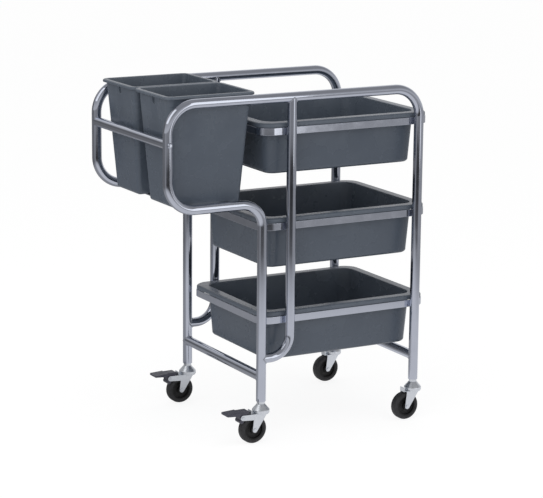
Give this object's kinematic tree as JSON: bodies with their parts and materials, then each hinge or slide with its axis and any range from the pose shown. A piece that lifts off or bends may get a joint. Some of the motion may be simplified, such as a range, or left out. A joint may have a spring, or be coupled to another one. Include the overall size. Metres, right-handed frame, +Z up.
{
  "type": "serving trolley",
  "caption": "Clearing trolley: bent tube frame on swivel casters with lift-out tubs stacked in flat bar rings and waste bins hung in a loop at one end.",
  "frame": {"origin": "floor level under the middle of the overall length and width", "axes": "+X along the trolley from the bin end to the tub end, +Y across it to the back, +Z up"},
  "size_m": [0.7968, 0.467, 0.9178],
  "materials": {
    "bright_chrome": "polished plating",
    "grey_plastic": "satin moulded",
    "zinc_plate": "zinc plated",
    "black_plastic": "moulded",
    "grey_tyre": "matte",
    "pedal_plastic": "satin moulded"
  },
  "bodies": {
    "frame": {"front_side_tube": "bright_chrome", "back_side_tube": "bright_chrome", "front_post": "bright_chrome", "back_post": "bright_chrome", "handle_bar": "bright_chrome", "left_cross_bar": "bright_chrome", "right_cross_bar": "bright_chrome", "handle_plugs": "zinc_plate", "handle_bolts": "bright_chrome", "left_bin_strap": "bright_chrome", "right_bin_strap": "bright_chrome", "top_ring": "bright_chrome", "middle_ring": "bright_chrome", "lower_ring": "bright_chrome", "ring_screws": "zinc_plate", "ring_inserts": "zinc_plate", "front_left_stem": "zinc_plate", "front_left_swivel_cup": "zinc_plate", "back_left_stem": "zinc_plate", "back_left_swivel_cup": "zinc_plate", "front_right_stem": "zinc_plate", "front_right_swivel_cup": "zinc_plate", "back_right_stem": "zinc_plate", "back_right_swivel_cup": "zinc_plate"},
    "top_tub_load": {"top_tub": "grey_plastic"},
    "middle_tub_load": {"middle_tub": "grey_plastic"},
    "lower_tub_load": {"lower_tub": "grey_plastic"},
    "front_bin_load": {"front_bin": "grey_plastic"},
    "back_bin_load": {"back_bin": "grey_plastic"},
    "front_left_swivel": {"front_left_ball_ring": "zinc_plate", "front_left_fork": "zinc_plate", "front_left_axle": "zinc_plate", "front_left_brake_pin": "zinc_plate"},
    "front_left_roller": {"front_left_wheel": "black_plastic", "front_left_tyre": "grey_tyre"},
    "front_left_brake": {"front_left_brake_pedal": "pedal_plastic"},
    "back_left_swivel": {"back_left_ball_ring": "zinc_plate", "back_left_fork": "zinc_plate", "back_left_axle": "zinc_plate", "back_left_brake_pin": "zinc_plate"},
    "back_left_roller": {"back_left_wheel": "black_plastic", "back_left_tyre": "grey_tyre"},
    "back_left_brake": {"back_left_brake_pedal": "pedal_plastic"},
    "front_right_swivel": {"front_right_ball_ring": "zinc_plate", "front_right_fork": "zinc_plate", "front_right_axle": "zinc_plate"},
    "front_right_roller": {"front_right_wheel": "black_plastic", "front_right_tyre": "grey_tyre"},
    "back_right_swivel": {"back_right_ball_ring": "zinc_plate", "back_right_fork": "zinc_plate", "back_right_axle": "zinc_plate"},
    "back_right_roller": {"back_right_wheel": "black_plastic", "back_right_tyre": "grey_tyre"}
  },
  "joints": [
    {"name": "top_tub_lift", "type": "slide", "parent": "frame", "child": "top_tub_load", "axis": [0, 0, 1], "range_m": [0, 0.3]},
    {"name": "middle_tub_lift", "type": "slide", "parent": "frame", "child": "middle_tub_load", "axis": [0, 0, 1], "range_m": [0, 0.1]},
    {"name": "lower_tub_lift", "type": "slide", "parent": "frame", "child": "lower_tub_load", "axis": [0, 0, 1], "range_m": [0, 0.1]},
    {"name": "front_bin_lift", "type": "slide", "parent": "frame", "child": "front_bin_load", "axis": [0, 0, 1], "range_m": [0, 0.3]},
    {"name": "back_bin_lift", "type": "slide", "parent": "frame", "child": "back_bin_load", "axis": [0, 0, 1], "range_m": [0, 0.3]},
    {"name": "front_left_swivel_turn", "type": "hinge", "parent": "frame", "child": "front_left_swivel", "pos_m": [-0.11665, -0.2105, 0.08], "axis": [0, 0, 1], "continuous": true},
    {"name": "front_left_wheel_roll", "type": "hinge", "parent": "front_left_swivel", "child": "front_left_roller", "pos_m": [-0.14165, -0.2105, 0.0375], "axis": [0, 1, 0], "continuous": true},
    {"name": "front_left_brake_press", "type": "hinge", "parent": "front_left_swivel", "child": "front_left_brake", "pos_m": [-0.17665, -0.2105, 0.074], "axis": [0, -1, 0], "range_deg": [0, 15]},
    {"name": "back_left_swivel_turn", "type": "hinge", "parent": "frame", "child": "back_left_swivel", "pos_m": [-0.11665, 0.2105, 0.08], "axis": [0, 0, 1], "continuous": true},
    {"name": "back_left_wheel_roll", "type": "hinge", "parent": "back_left_swivel", "child": "back_left_roller", "pos_m": [-0.14165, 0.2105, 0.0375], "axis": [0, 1, 0], "continuous": true},
    {"name": "back_left_brake_press", "type": "hinge", "parent": "back_left_swivel", "child": "back_left_brake", "pos_m": [-0.17665, 0.2105, 0.074], "axis": [0, -1, 0], "range_deg": [0, 15]},
    {"name": "front_right_swivel_turn", "type": "hinge", "parent": "frame", "child": "front_right_swivel", "pos_m": [0.35135, -0.2105, 0.08], "axis": [0, 0, 1], "continuous": true},
    {"name": "front_right_wheel_roll", "type": "hinge", "parent": "front_right_swivel", "child": "front_right_roller", "pos_m": [0.32635, -0.2105, 0.0375], "axis": [0, 1, 0], "continuous": true},
    {"name": "back_right_swivel_turn", "type": "hinge", "parent": "frame", "child": "back_right_swivel", "pos_m": [0.35135, 0.2105, 0.08], "axis": [0, 0, 1], "continuous": true},
    {"name": "back_right_wheel_roll", "type": "hinge", "parent": "back_right_swivel", "child": "back_right_roller", "pos_m": [0.32635, 0.2105, 0.0375], "axis": [0, 1, 0], "continuous": true}
  ]
}
